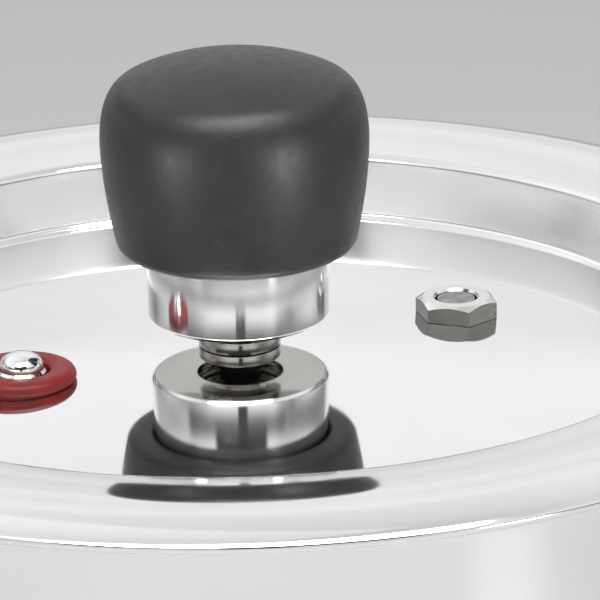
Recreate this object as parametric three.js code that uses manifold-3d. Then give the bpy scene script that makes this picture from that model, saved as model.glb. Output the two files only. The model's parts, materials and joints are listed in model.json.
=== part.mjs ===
// A three-litre stovetop pressure cooker with a deep outer lid, in millimetres.
// +Z is up, the origin is on the hob below the pot's axis, and +X runs along the lid's handle.
// The lid stands in its unlocked position: it lifts straight off, or turns LOCK_TURN degrees
// clockwise until its handle lies over the pot's handle and its lugs sit under the pot's lugs.
import * as THREE from "three";
import { mergeVertices } from "three/addons/utils/BufferGeometryUtils.js";
import Module from "manifold-3d";

const wasm = await Module();
wasm.setup();

// ---- Driving dimensions ----
const GAP = 0.3; // clearance between pieces that touch on the real cooker
const LUGS = 8;
const LOCK_TURN = 180 / LUGS; // degrees from one lug's gap to the lug beside it

const POT_R = 91.5; // outside of the pot's wall
const POT_WALL = 1.2;
const POT_CORNER = 13.5;
const POT_FLOOR_Z = 6; // underside of the pot's floor, on top of its heat-spreading base
const POT_RIM_Z = 116.2; // top of the pot's flange
const FLANGE_R = 93;
const POT_LUG_R = 96.1;
const POT_LUG_SPAN = 20; // degrees
const BASE_R = 77.4;
const BASE_SHEET = 0.8;

const LID_Z = 112.8; // edge of the lid's plate, at the foot of its recess
const LID_SHEET = 1;
const DOME_R = 70.8;
const DOME_RISE = 3;
const RECESS_R = 74.2; // top of the recess wall
const RIM_H = 9.9; // height of the rim's inner edge over LID_Z
const RIM_R = 99; // outermost radius of the rim's hem
const SKIRT_R = 97.7;
const SKIRT_LOW = -8; // height of the skirt's lower edge over LID_Z
const LUG_LOW = 0.4; // and of the lugs inside it
const LID_LUG_R = 93.4;
const LID_LUG_SPAN = 19; // degrees

const PLUG_AT = [36.7, -2.1]; // fusible plug, on the lid
const PIN_AT = [-36, 1.6]; // pressure indicator, on the lid

const KNOB_R = 20.8;
const SLEEVE_R = 14.1;

const ROUND = 48; // sides of the pot and lid
const MEDIUM = 28; // sides of the weight
const SMALL = 16; // sides of pins, screws and washers

// ---- Materials ----
const material = (color, roughness, metalness) =>
  new THREE.MeshStandardMaterial({ color, roughness, metalness });
const mirrorSteel = material(0xdcdcde, 0.08, 1);
const satinSteel = material(0xb9b9bb, 0.3, 1);
const darkSteel = material(0x6f6e6a, 0.25, 1);
const aluminium = material(0xb8babd, 0.45, 1);
const brass = material(0xb5944f, 0.3, 1);
const alloy = material(0x8b8b8b, 0.6, 0.6);
const phenolic = material(0x2e2f31, 0.5, 0);
const redSilicone = material(0x9c2a2c, 0.45, 0);
const greySilicone = material(0xd8d8d4, 0.6, 0);

// ---- Shape helpers ----
const rad = THREE.MathUtils.degToRad;

// Turns a closed outline of [r, z] points, or one that starts and ends on the axis, about Z.
function lathe(outline, sides) {
  const points = outline.map(([r, z]) => new THREE.Vector2(Math.max(r, 0), z));
  const onAxis = points[0].x === 0 && points.at(-1).x === 0;
  if (!onAxis) points.push(points[0].clone());
  if (THREE.ShapeUtils.area(points) < 0) points.reverse();
  return new THREE.LatheGeometry(points, sides).rotateX(Math.PI / 2);
}

// Moves a line of points to its right by a distance; a point on the axis stays on it.
function offset(line, distance) {
  return line.map(([r, z], i) => {
    const before = line[Math.max(i - 1, 0)];
    const after = line[Math.min(i + 1, line.length - 1)];
    const run = new THREE.Vector2(after[0] - before[0], after[1] - before[1]).normalize();
    return r === 0 ? [0, z - distance] : [r + run.y * distance, z - run.x * distance];
  });
}

const pathPoints = (path, divisions) => path.getPoints(divisions).map((p) => [p.x, p.y]);

function solid(geometry) {
  const bare = geometry.clone().deleteAttribute("normal").deleteAttribute("uv");
  const merged = mergeVertices(bare, 1e-4);
  return new wasm.Manifold(
    new wasm.Mesh({
      numProp: 3,
      vertProperties: merged.attributes.position.array,
      triVerts: new Uint32Array(merged.index.array),
    }),
  );
}

function geometryOf(manifold) {
  const mesh = manifold.getMesh();
  const geometry = new THREE.BufferGeometry();
  geometry.setAttribute("position", new THREE.BufferAttribute(mesh.vertProperties, 3));
  geometry.setIndex(new THREE.BufferAttribute(mesh.triVerts, 1));
  return geometry;
}

const join = (...shapes) => geometryOf(shapes.map(solid).reduce((a, b) => a.add(b)));
const cut = (shape, ...tools) =>
  geometryOf(tools.map(solid).reduce((a, b) => a.subtract(b), solid(shape)));
const overlap = (a, b) => geometryOf(solid(a).intersect(solid(b)));

function post(radius, low, high, sides = SMALL, x = 0, y = 0) {
  const outline = [[0, low], [radius, low], [radius, high], [0, high]];
  return lathe(outline, sides).translate(x, y, 0);
}

function washer(inner, outer, low, high, sides = SMALL) {
  return lathe([[inner, low], [outer, low], [outer, high], [inner, high]], sides);
}

function box(x0, x1, halfY, z0, z1) {
  const shape = new THREE.BoxGeometry(x1 - x0, 2 * halfY, z1 - z0);
  return shape.translate((x0 + x1) / 2, 0, (z0 + z1) / 2);
}

// A piece of a flat ring between two radii, centred on an angle in degrees.
function ringPiece(inner, outer, low, high, centre, span, steps = 4) {
  const from = rad(centre - span / 2);
  const to = rad(centre + span / 2);
  const shape = new THREE.Shape();
  shape.absarc(0, 0, outer, from, to, false);
  shape.absarc(0, 0, inner, to, from, true);
  const flat = new THREE.ExtrudeGeometry(shape, {
    depth: high - low,
    bevelEnabled: false,
    curveSegments: steps,
  });
  return flat.translate(0, 0, low);
}

function hexagon(acrossFlats, low, high, turn = 0) {
  const bar = new THREE.CylinderGeometry(1, 1, high - low, 6).rotateX(Math.PI / 2);
  const corner = acrossFlats / Math.sqrt(3);
  return bar.scale(corner, corner, 1).rotateZ(rad(turn)).translate(0, 0, (low + high) / 2);
}

// A grip lofted along X through rounded sections [x, centre z, half width, half height].
function grip(stations, sides = 18, squareness = 2.6) {
  const positions = [];
  const index = [];
  for (const [x, z, width, height] of stations) {
    for (let i = 0; i < sides; i += 1) {
      const angle = (2 * Math.PI * i) / sides;
      const across = Math.sign(Math.cos(angle)) * Math.abs(Math.cos(angle)) ** (2 / squareness);
      const up = Math.sign(Math.sin(angle)) * Math.abs(Math.sin(angle)) ** (2 / squareness);
      positions.push(x, width * across, z + height * up);
    }
  }
  const ring = (s, i) => s * sides + (i % sides);
  for (let s = 0; s + 1 < stations.length; s += 1) {
    for (let i = 0; i < sides; i += 1) {
      index.push(ring(s, i), ring(s + 1, i + 1), ring(s, i + 1));
      index.push(ring(s, i), ring(s + 1, i), ring(s + 1, i + 1));
    }
  }
  const last = stations.length - 1;
  for (let i = 1; i + 1 < sides; i += 1) {
    index.push(ring(0, 0), ring(0, i), ring(0, i + 1));
    index.push(ring(last, 0), ring(last, i + 1), ring(last, i));
  }
  const geometry = new THREE.BufferGeometry();
  geometry.setAttribute("position", new THREE.Float32BufferAttribute(positions, 3));
  geometry.setIndex(index);
  const facesIn = solid(geometry).volume() < 0;
  if (facesIn) geometry.setIndex(index.reverse());
  return geometry;
}

// A pan-head screw pointing down from its head, with a cross slot.
function screw(radius, headRadius, headLow, headHigh, tip) {
  const outline = [
    [0, tip],
    [radius, tip],
    [radius, headLow],
    [headRadius, headLow],
    [headRadius, headHigh - 0.8],
    [headRadius - 1, headHigh],
    [0, headHigh],
  ];
  const slot = headRadius * 0.62;
  const bar = box(-slot, slot, 0.5, headHigh - 1.1, headHigh + 1);
  const across = bar.clone().rotateZ(Math.PI / 2);
  return cut(lathe(outline, SMALL), bar, across);
}

// The same clearance round a screw, for the hole it passes through.
function screwHole(radius, headRadius, headLow, top, tip) {
  const outline = [
    [0, tip - GAP],
    [radius + GAP, tip - GAP],
    [radius + GAP, headLow - GAP],
    [headRadius + GAP, headLow - GAP],
    [headRadius + GAP, top],
    [0, top],
  ];
  return lathe(outline, SMALL);
}

const cooker = new THREE.Group();
const pot = new THREE.Group();
pot.rotation.z = rad(-LOCK_TURN);
const lid = new THREE.Group();
cooker.add(pot, lid);

function add(group, name, geometry, look, x = 0, y = 0, z = 0) {
  const mesh = new THREE.Mesh(geometry, look);
  mesh.name = name;
  mesh.position.set(x, y, z);
  group.add(mesh);
}

// ---- Pot: drawn shell with a lugged flange, and its sandwich base ----
function potShell() {
  const line = new THREE.Path();
  const bend = FLANGE_R - POT_R;
  const flangeLow = POT_RIM_Z - POT_WALL;
  line.moveTo(0, POT_FLOOR_Z);
  line.lineTo(POT_R - POT_CORNER, POT_FLOOR_Z);
  line.absarc(POT_R - POT_CORNER, POT_FLOOR_Z + POT_CORNER, POT_CORNER, -Math.PI / 2, 0, false);
  line.lineTo(POT_R, flangeLow - bend);
  line.lineTo(FLANGE_R - 0.5, flangeLow);
  line.lineTo(FLANGE_R, flangeLow);
  const outer = pathPoints(line, 4);
  const inner = [
    [FLANGE_R, POT_RIM_Z],
    [POT_R, POT_RIM_Z],
    [POT_R - POT_WALL, POT_RIM_Z - 1.6],
  ];
  const hollow = new THREE.Path();
  const innerCorner = POT_CORNER - POT_WALL;
  hollow.moveTo(POT_R - POT_WALL, POT_FLOOR_Z + POT_CORNER);
  hollow.absarc(POT_R - POT_CORNER, POT_FLOOR_Z + POT_CORNER, innerCorner, 0, -Math.PI / 2, true);
  hollow.lineTo(0, POT_FLOOR_Z + POT_WALL);
  const shell = lathe([...outer, ...inner, ...pathPoints(hollow, 4)], ROUND);
  const lugs = [];
  for (let i = 0; i < LUGS; i += 1) {
    const angle = (360 * i) / LUGS;
    lugs.push(ringPiece(FLANGE_R - 0.6, POT_LUG_R, flangeLow, POT_RIM_Z, angle, POT_LUG_SPAN));
  }
  return join(shell, ...lugs);
}

function potBase() {
  const top = POT_FLOOR_Z - GAP;
  const inside = BASE_R - BASE_SHEET;
  const cap = [
    [0, 0],
    [BASE_R - 1.6, 0],
    [BASE_R, 1.6],
    [BASE_R, top],
    [inside, top],
    [inside, 1.9],
    [inside - 1.1, BASE_SHEET],
    [0, BASE_SHEET],
  ];
  const core = inside - GAP;
  const disc = [
    [0, BASE_SHEET + GAP],
    [core - 1.2, BASE_SHEET + GAP],
    [core, 2.3],
    [core, top],
    [0, top],
  ];
  add(pot, "base_cap", lathe(cap, ROUND), satinSteel);
  add(pot, "base_disc", lathe(disc, ROUND), aluminium);
}

add(pot, "pot_shell", potShell(), mirrorSteel);
potBase();

// ---- Pot handles: a bracket on the wall, a ferrule, a moulded grip and its screw ----
const HANDLE_Z = 94; // centre line of the pot's handles
const TONGUE = { halfWidth: 9, halfHeight: 1.1 };
const BRACKET_R = POT_R + GAP;
const FERRULE_X = 96.5;
const FERRULE_LENGTH = 6;

function bracket(halfSpan, halfHeight, reach) {
  const plate = ringPiece(
    BRACKET_R,
    BRACKET_R + 1.8,
    HANDLE_Z - halfHeight,
    HANDLE_Z + halfHeight,
    0,
    2 * halfSpan,
    6,
  );
  const low = HANDLE_Z - TONGUE.halfHeight;
  const high = HANDLE_Z + TONGUE.halfHeight;
  return join(plate, box(BRACKET_R + 0.6, reach, TONGUE.halfWidth, low, high));
}

function tonguePocket(from, reach) {
  return box(
    from,
    reach + GAP,
    TONGUE.halfWidth + GAP,
    HANDLE_Z - TONGUE.halfHeight - GAP,
    HANDLE_Z + TONGUE.halfHeight + GAP,
  );
}

const flip = (geometry, z) => geometry.rotateX(Math.PI).translate(0, 0, z);

function potHandle() {
  const reach = 124;
  const screwX = 113;
  const headLow = HANDLE_Z + 5.4; // measured before the screw is turned head down
  const tip = HANDLE_Z - 4;
  const stations = [
    [FERRULE_X + 1, HANDLE_Z, 12.6, 7.2],
    [FERRULE_X + FERRULE_LENGTH, HANDLE_Z, 12.6, 7.2],
    [FERRULE_X + FERRULE_LENGTH + 0.1, HANDLE_Z, 14.4, 8.6],
    [112, HANDLE_Z, 15, 8.9],
    [132, HANDLE_Z - 0.8, 13.2, 8.4],
    [158, HANDLE_Z - 1.8, 12, 7.8],
    [186, HANDLE_Z - 1.6, 12.6, 8],
    [208, HANDLE_Z - 1.2, 13.8, 8.2],
    [222, HANDLE_Z - 1, 13.4, 7.8],
    [229, HANDLE_Z - 1, 10.8, 6.2],
    [231.5, HANDLE_Z - 1, 6.8, 3.8],
  ];
  const middle = 2 * HANDLE_Z;
  const fastener = flip(screw(2, 4, headLow, headLow + 2, tip), middle).translate(screwX, 0, 0);
  const hole = flip(screwHole(2, 4, headLow, headLow + 12, tip), middle).translate(screwX, 0, 0);
  const clear = flip(screwHole(2, 2, tip + 1, HANDLE_Z + 9, tip), middle).translate(screwX, 0, 0);
  add(pot, "pot_handle_bracket", cut(bracket(11, 12, reach), clear), satinSteel);
  add(pot, "pot_handle", cut(grip(stations), tonguePocket(FERRULE_X, reach), hole), phenolic);
  add(pot, "pot_handle_screw", fastener, satinSteel);
  const end = FERRULE_X + FERRULE_LENGTH - GAP;
  const outer = grip([[FERRULE_X - 1.6, HANDLE_Z, 14, 8.6], [end, HANDLE_Z, 14, 8.6]]);
  const inner = grip([[FERRULE_X - 9, HANDLE_Z, 12.9, 7.5], [end + 9, HANDLE_Z, 12.9, 7.5]]);
  add(pot, "pot_handle_ferrule", cut(outer, inner), satinSteel);
}

function helperHandle() {
  const reach = 113;
  const screwX = 106;
  const headLow = HANDLE_Z + 4.4;
  const tip = HANDLE_Z - 4;
  const stations = [
    [95.2, HANDLE_Z, 21, 6.6],
    [97.4, HANDLE_Z, 24, 7.6],
    [104, HANDLE_Z, 28, 7.8],
    [112, HANDLE_Z - 0.4, 30, 7.4],
    [119, HANDLE_Z - 0.8, 28, 6.6],
    [123.5, HANDLE_Z - 1, 23, 5],
    [125.5, HANDLE_Z - 1, 16, 2.8],
  ];
  const middle = 2 * HANDLE_Z;
  const fastener = flip(screw(2, 4, headLow, headLow + 2, tip), middle).translate(screwX, 0, 0);
  const hole = flip(screwHole(2, 4, headLow, headLow + 12, tip), middle).translate(screwX, 0, 0);
  const clear = flip(screwHole(2, 2, tip + 1, HANDLE_Z + 9, tip), middle).translate(screwX, 0, 0);
  const side = new THREE.Group();
  side.rotation.z = Math.PI;
  pot.add(side);
  add(side, "helper_bracket", cut(bracket(10, 8, reach), clear), satinSteel);
  add(side, "helper_handle", cut(grip(stations, 24, 2.8), tonguePocket(94, reach), hole), phenolic);
  add(side, "helper_screw", fastener, satinSteel);
}

potHandle();
helperHandle();

// ---- Lid: domed plate in a deep recess, broad rim, skirt and lugs ----
const domeRadius = (DOME_R ** 2 + DOME_RISE ** 2) / (2 * DOME_RISE);
const plateZ = (r) => LID_Z + DOME_RISE - domeRadius + Math.sqrt(domeRadius ** 2 - r ** 2);
const TOP = LID_Z + DOME_RISE; // crown of the plate, where the vent stands

// The line of the rim's upper face, from the recess wall's top out to the hem.
function rimLine(line) {
  line.quadraticCurveTo(RECESS_R + 0.1, LID_Z + RIM_H, RECESS_R + 1.5, LID_Z + RIM_H + 0.35);
  line.quadraticCurveTo(87.5, LID_Z + RIM_H + 2.7, 93.5, LID_Z + RIM_H + 1.2);
}

function hemLine(line) {
  line.quadraticCurveTo(RIM_R - 0.8, LID_Z + RIM_H, RIM_R, LID_Z + RIM_H - 1.1);
}

function lidShell() {
  const top = new THREE.Path();
  const domeEdge = Math.asin(DOME_R / domeRadius);
  top.moveTo(0, TOP);
  top.absarc(0, TOP - domeRadius, domeRadius, Math.PI / 2, Math.PI / 2 - domeEdge, true);
  top.quadraticCurveTo(RECESS_R - 1.6, LID_Z - 0.16, RECESS_R - 1.5, LID_Z + 1.9);
  top.lineTo(RECESS_R, LID_Z + RIM_H - 0.9);
  rimLine(top);
  const upper = pathPoints(top, 3);
  const edge = new THREE.Path();
  edge.moveTo(...upper.at(-1));
  hemLine(edge);
  edge.quadraticCurveTo(RIM_R, LID_Z + RIM_H - 2.2, RIM_R - 1, LID_Z + RIM_H - 2.2);
  edge.lineTo(SKIRT_R, LID_Z + RIM_H - 2.9);
  edge.lineTo(SKIRT_R, LID_Z + SKIRT_LOW);
  edge.lineTo(SKIRT_R - LID_SHEET, LID_Z + SKIRT_LOW);
  edge.lineTo(SKIRT_R - LID_SHEET, LID_Z + RIM_H - 1.3);
  const outline = [...upper, ...pathPoints(edge, 3).slice(1), ...offset(upper, LID_SHEET).reverse()];
  const lugs = [];
  for (let i = 0; i < LUGS; i += 1) {
    const angle = (360 * i) / LUGS;
    const low = LID_Z + LUG_LOW;
    lugs.push(ringPiece(LID_LUG_R, SKIRT_R - 0.5, low, low + 1.2, angle, LID_LUG_SPAN));
  }
  return cut(
    join(lathe(outline, ROUND), ...lugs),
    post(4.3, LID_Z - 5, TOP + 5),
    post(4.7, LID_Z - 5, TOP + 5, SMALL, ...PLUG_AT),
    post(5.3, LID_Z - 5, TOP + 5, SMALL, ...PIN_AT),
  );
}

// A lip seal open towards the axis, so that steam presses its limbs apart.
function gasket() {
  const low = POT_RIM_Z + GAP;
  return lathe(
    [
      [83.5, low + 0.4],
      [92, low],
      [96.2, low],
      [96.2, low + 3.2],
      [94.6, low + 4.4],
      [83, low + 5.6],
      [83, low + 4.4],
      [93, low + 3.1],
      [93.6, low + 1.9],
      [92.4, low + 1.3],
      [84, low + 1.6],
    ],
    ROUND,
  );
}

add(lid, "lid_shell", lidShell(), mirrorSteel);
add(lid, "lid_gasket", gasket(), greySilicone);

// ---- Lid handle: a strap over the rim, a moulded grip and two screws ----
const STRAP_SHEET = 1.6;
const TONGUE_LOW = LID_Z + 5;
const LID_GRIP_Z = LID_Z + 5.6;

function lidHandle() {
  const line = new THREE.Path();
  line.moveTo(RECESS_R + 0.3, LID_Z + RIM_H);
  rimLine(line);
  hemLine(line);
  line.lineTo(RIM_R, TONGUE_LOW);
  const points = pathPoints(line, 4);
  const under = offset(points, -GAP);
  const top = offset(points, -GAP - STRAP_SHEET);
  const strip = lathe([...top, ...under.reverse()], 2 * ROUND);
  const hug = overlap(strip, box(RECESS_R + 4, 104, 12, LID_Z, LID_Z + 20));
  const reach = 128;
  const tongue = box(RIM_R + 1, reach, 10, TONGUE_LOW, TONGUE_LOW + 1.8);
  const screwXs = [110, 121];
  const headLow = LID_GRIP_Z + 4.2;
  const tip = TONGUE_LOW - 2.2;
  const fasteners = screwXs.map((x) => screw(1.9, 3.8, headLow, headLow + 2, tip).translate(x, 0, 0));
  const holes = screwXs.map((x) => screwHole(1.9, 3.8, headLow, headLow + 12, tip).translate(x, 0, 0));
  const clear = screwXs.map((x) => post(2.2, LID_Z, LID_Z + 14, SMALL, x));
  const stations = [
    [102.4, LID_GRIP_Z, 13.4, 6.6],
    [104, LID_GRIP_Z, 14.6, 7.6],
    [114, LID_GRIP_Z, 15, 8],
    [132, LID_GRIP_Z + 0.6, 13.4, 7.6],
    [158, LID_GRIP_Z + 1.6, 12, 7],
    [186, LID_GRIP_Z + 1.8, 12.6, 7.1],
    [208, LID_GRIP_Z + 1.4, 13.8, 7.4],
    [223, LID_GRIP_Z + 1, 13.4, 7],
    [230, LID_GRIP_Z + 1, 10.8, 5.6],
    [232.5, LID_GRIP_Z + 1, 6.8, 3.4],
  ];
  const pocket = box(101, reach + GAP, 10 + GAP, TONGUE_LOW - GAP, TONGUE_LOW + 1.8 + GAP);
  add(lid, "lid_handle_strap", cut(join(hug, tongue), ...clear), satinSteel);
  add(lid, "lid_handle", cut(grip(stations), pocket, ...holes), phenolic);
  add(lid, "lid_handle_screw_front", fasteners[0], satinSteel);
  add(lid, "lid_handle_screw_rear", fasteners[1], satinSteel);
}

lidHandle();

// ---- Vent: tube through the lid's centre, its round nut above and seal below ----
const UNDER = -LID_SHEET; // underside of the lid beside a hole whose top face is at 0

function vent() {
  const tube = [
    [1.2, -9],
    [3.9, -9],
    [3.9, UNDER - GAP - 3.2],
    [7, UNDER - GAP - 3.2],
    [7, UNDER - GAP - 1.9],
    [3.9, UNDER - GAP - 1.9],
    [3.9, 2.4],
    [3.2, 2.7],
    [3.2, 8.6],
    [2.8, 9.1],
    [2.3, 9.1],
    [1.2, 8],
  ];
  add(lid, "vent_tube", lathe(tube, MEDIUM), darkSteel, 0, 0, TOP);
  const nut = [[4.2, GAP], [6.4, GAP], [6.4, 1.8], [6.1, 2.1], [4.2, 2.1]];
  add(lid, "vent_nut", lathe(nut, MEDIUM), darkSteel, 0, 0, TOP);
  const seal = washer(4.2, 7.4, UNDER - GAP - 1.6, UNDER - GAP);
  add(lid, "vent_seal", seal, greySilicone, 0, 0, TOP);
}

vent();

// ---- Weight: it stands on the vent tube and lifts off it ----
const SLEEVE_LOW = 4.8;
const SLEEVE_HIGH = 18.2;
const CORE_LOW = 6.2;
const NECK_TOP = 22.4;
const STUD_TOP = 33.4;

function weight() {
  const core = [
    [0, 15.4],
    [2.2, 15.4],
    [2.2, 10.4],
    [3.6, 10.4],
    [3.6, 8.4],
    [7.6, 8.4],
    [7.6, 7.4],
    [6.8, 7.4],
    [6.8, CORE_LOW],
    [12.6, CORE_LOW],
    [12.6, SLEEVE_HIGH],
    [9, SLEEVE_HIGH],
    [9, NECK_TOP],
    [4, NECK_TOP],
    [4, STUD_TOP],
    [0, STUD_TOP],
  ];
  add(lid, "weight_core", lathe(core, MEDIUM), darkSteel, 0, 0, TOP);
  const needle = [[0, 7.3], [1.9, 9.2], [1.9, 15.1], [0, 15.1]];
  add(lid, "weight_needle", lathe(needle, SMALL), satinSteel, 0, 0, TOP);
  const sleeve = [
    [6.8, SLEEVE_LOW],
    [13.5, SLEEVE_LOW],
    [SLEEVE_R, SLEEVE_LOW + 0.6],
    [SLEEVE_R, SLEEVE_HIGH],
    [12.9, SLEEVE_HIGH],
    [12.9, CORE_LOW - GAP],
    [6.8, CORE_LOW - GAP],
  ];
  add(lid, "weight_sleeve", lathe(sleeve, MEDIUM), mirrorSteel, 0, 0, TOP);
  add(lid, "weight_clip", ringPiece(5, 7.3, 7.7, 8.1, 0, 300, 20), darkSteel, 0, 0, TOP);
  const insert = washer(4 + GAP, 7, NECK_TOP + GAP, STUD_TOP + 0.4, MEDIUM);
  add(lid, "weight_insert", insert, brass, 0, 0, TOP);
  add(lid, "weight_knob", knob(), phenolic, 0, 0, TOP);
}

function knob() {
  const skin = new THREE.Path();
  skin.moveTo(SLEEVE_R + GAP, 16.2);
  skin.lineTo(16.2, 16.1);
  skin.quadraticCurveTo(18.4, 16.2, 18.8, 17.7);
  skin.quadraticCurveTo(KNOB_R, 27.4, KNOB_R, 33.5);
  skin.quadraticCurveTo(KNOB_R, 41.5, 16.8, 43);
  skin.quadraticCurveTo(10.8, 46.5, 0, 46.5);
  const cavity = [
    [0, STUD_TOP + 1],
    [7 + GAP, STUD_TOP + 1],
    [7 + GAP, NECK_TOP + GAP],
    [9 + GAP, NECK_TOP + GAP],
    [9 + GAP, SLEEVE_HIGH + GAP],
    [SLEEVE_R + GAP, SLEEVE_HIGH + GAP],
  ];
  return lathe([...cavity, ...pathPoints(skin, 5)], MEDIUM);
}

weight();

// ---- Fusible safety plug ----
const SEAT = 0.4; // clearance of a flat face over the sloping plate, at its centre

function safetyPlug() {
  const at = [...PLUG_AT, plateZ(Math.hypot(...PLUG_AT))];
  const head = overlap(
    hexagon(11.4, SEAT, 3.1, -8.3),
    lathe([[0, SEAT], [7, SEAT], [7, 2.1], [5.2, 3.1], [0, 3.1]], MEDIUM),
  );
  const body = join(head, post(4.4, -8, 1));
  const alloyBore = post(3.3, -3, 6);
  add(lid, "plug_body", cut(body, alloyBore, post(1.6, -9, 0)), darkSteel, ...at);
  add(lid, "plug_alloy", post(3, -3 + GAP, 2.9), alloy, ...at);
  add(lid, "plug_seal", washer(4.7, 6.2, -2.6, UNDER - SEAT), redSilicone, ...at);
  const nut = cut(hexagon(12, -6, -2.8), post(4.7, -9, 0));
  add(lid, "plug_nut", nut, satinSteel, ...at);
}

safetyPlug();

// ---- Pressure indicator: a pin that rises through a red silicone bush ----
function indicator() {
  const at = [...PIN_AT, plateZ(Math.hypot(...PIN_AT))];
  const bush = [
    [1.9, -3.2],
    [6.6, -3.2],
    [6.6, UNDER - SEAT - 0.05],
    [5, UNDER - SEAT - 0.05],
    [5, SEAT + 0.05],
    [8.2, SEAT + 0.05],
    [8.5, 0.85],
    [8.45, 1.4],
    [8.05, 2.05],
    [7.1, 2.4],
    [5.2, 2.4],
    [4.4, 1.9],
    [4.4, 0.6],
    [1.9, 0.6],
  ];
  add(lid, "indicator_bush", lathe(bush, MEDIUM), redSilicone, ...at);
  const pin = [
    [0, -10],
    [1.6, -10],
    [1.6, -9.4],
    [1.1, -9.4],
    [1.1, -8.4],
    [1.6, -8.4],
    [1.6, 0.9],
    [3.9, 0.9],
    [3.9, 1.8],
    [3.6, 2.2],
    [3.4, 3.2],
    [2.6, 4.2],
    [1.3, 4.7],
    [0, 4.8],
  ];
  add(lid, "indicator_pin", lathe(pin, SMALL), mirrorSteel, ...at);
  const clip = ringPiece(1.4, 3.3, -9.2, -8.6, 0, 290, 16);
  add(lid, "indicator_clip", clip, satinSteel, ...at);
}

indicator();

export default cooker;
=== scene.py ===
import json
import math
import bpy
from mathutils import Matrix, Vector

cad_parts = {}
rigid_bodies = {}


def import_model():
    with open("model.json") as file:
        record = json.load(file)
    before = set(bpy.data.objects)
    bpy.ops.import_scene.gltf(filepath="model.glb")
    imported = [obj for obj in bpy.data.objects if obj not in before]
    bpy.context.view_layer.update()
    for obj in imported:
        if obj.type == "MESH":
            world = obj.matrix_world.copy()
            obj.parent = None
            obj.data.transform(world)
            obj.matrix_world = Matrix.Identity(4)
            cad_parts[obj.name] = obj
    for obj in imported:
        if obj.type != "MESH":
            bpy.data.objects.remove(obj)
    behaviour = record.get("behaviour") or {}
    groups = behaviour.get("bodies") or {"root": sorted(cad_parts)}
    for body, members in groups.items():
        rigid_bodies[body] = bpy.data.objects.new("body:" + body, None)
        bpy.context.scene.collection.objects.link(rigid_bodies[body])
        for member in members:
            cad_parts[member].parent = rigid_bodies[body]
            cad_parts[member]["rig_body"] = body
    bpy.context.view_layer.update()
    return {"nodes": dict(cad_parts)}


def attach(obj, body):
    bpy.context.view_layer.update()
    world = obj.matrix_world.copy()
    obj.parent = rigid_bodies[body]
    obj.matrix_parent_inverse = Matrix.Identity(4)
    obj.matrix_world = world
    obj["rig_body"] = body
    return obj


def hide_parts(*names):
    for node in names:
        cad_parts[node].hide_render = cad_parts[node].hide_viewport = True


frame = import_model()

# ---- Dimensions, in millimetres as on the CAD ----
MM = 0.001
LUGS = 8
LOCK_TURN = 180 / LUGS
POT_R, POT_WALL, POT_CORNER = 91.5, 1.2, 13.5
POT_FLOOR_Z, POT_RIM_Z = 6, 116.2
FLANGE_R, POT_LUG_R, POT_LUG_SPAN = 93, 96.1, 20
BASE_R, BASE_SHEET = 77.4, 0.8
LID_Z, LID_SHEET = 112.8, 1
DOME_R, DOME_RISE = 70.8, 3
RECESS_R, RIM_H, RIM_R = 74.2, 9.9, 99
SKIRT_R, SKIRT_LOW, LUG_LOW = 97.7, -8, 0.4
LID_LUG_R, LID_LUG_SPAN = 93.4, 19
RIM_Z = LID_Z + RIM_H
TOP = LID_Z + DOME_RISE
PLUG_AT, PIN_AT = (36.7, -2.1), (-36, 1.6)
KNOB_R, SLEEVE_R = 20.8, 14.1
SLEEVE_LOW, SLEEVE_HIGH, CORE_LOW = 4.8, 18.2, 6.2
NECK_TOP, STUD_TOP = 22.4, 33.4
HANDLE_Z = 94
LID_GRIP_Z = LID_Z + 5.6
TONGUE_LOW = LID_Z + 5  # the underside of the strap's end, inside the lid's grip
GAP = 0.3
SEAT = 0.4  # height over the plate at which the CAD pieces stand
HAIR = 0.06  # height at which the pieces of this scene stand
POT_TURN = math.radians(-LOCK_TURN)
SHELL_SIDES, WIDE_SIDES, ROUND_SIDES = 360, 256, 96
PLATE_SPHERE_R = (DOME_R**2 + DOME_RISE**2) / (2 * DOME_RISE)


def plate_z(r):
    """The height of the lid's slightly domed plate at a radius."""
    return TOP - PLATE_SPHERE_R + math.sqrt(PLATE_SPHERE_R**2 - r * r)


def on_plate(x, y):
    return x, y, plate_z(math.hypot(x, y))


CENTRE = (0, 0, TOP)
PLUG_PLACE = on_plate(*PLUG_AT)
PIN_PLACE = on_plate(*PIN_AT)
UNDER = -LID_SHEET  # the plate's underside, in heights over its top


# ---- Camera ----
CAMERA_LENS = 300
CAMERA_DISTANCE = 0.78125
CAMERA_ELEVATION = math.radians(19.5)
CAMERA_AZIMUTH = math.radians(-24.3)  # of the picture's right-hand side
CAMERA_ROLL = math.radians(1.22)
CAMERA_AIM = Vector((0.0096, -0.00198, 0.12185))


def make_camera():
    across = Vector((math.cos(CAMERA_AZIMUTH), math.sin(CAMERA_AZIMUTH), 0))
    away = Vector((-across.y, across.x, 0))
    ahead = away * math.cos(CAMERA_ELEVATION) - Vector((0, 0, math.sin(CAMERA_ELEVATION)))
    up = across.cross(ahead)
    right = across * math.cos(CAMERA_ROLL) - up * math.sin(CAMERA_ROLL)
    data = bpy.data.cameras.new("camera")
    data.lens = CAMERA_LENS
    data.sensor_width = 36
    data.clip_start = 0.01
    camera = bpy.data.objects.new("camera", data)
    turn = Matrix((right, right.cross(ahead), -ahead)).transposed()
    camera.matrix_world = Matrix.Translation(CAMERA_AIM - ahead * CAMERA_DISTANCE) @ turn.to_4x4()
    bpy.context.scene.collection.objects.link(camera)
    bpy.context.scene.camera = camera


make_camera()


# ---- Outlines: lists of [r, z] points ----
def bend(start, control, end, steps=12):
    """The points of a quadratic curve after its start."""
    points = []
    for i in range(1, steps + 1):
        t = i / steps
        a, b, c = (1 - t) ** 2, 2 * t * (1 - t), t * t
        points.append([a * p + b * q + c * r for p, q, r in zip(start, control, end)])
    return points


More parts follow.
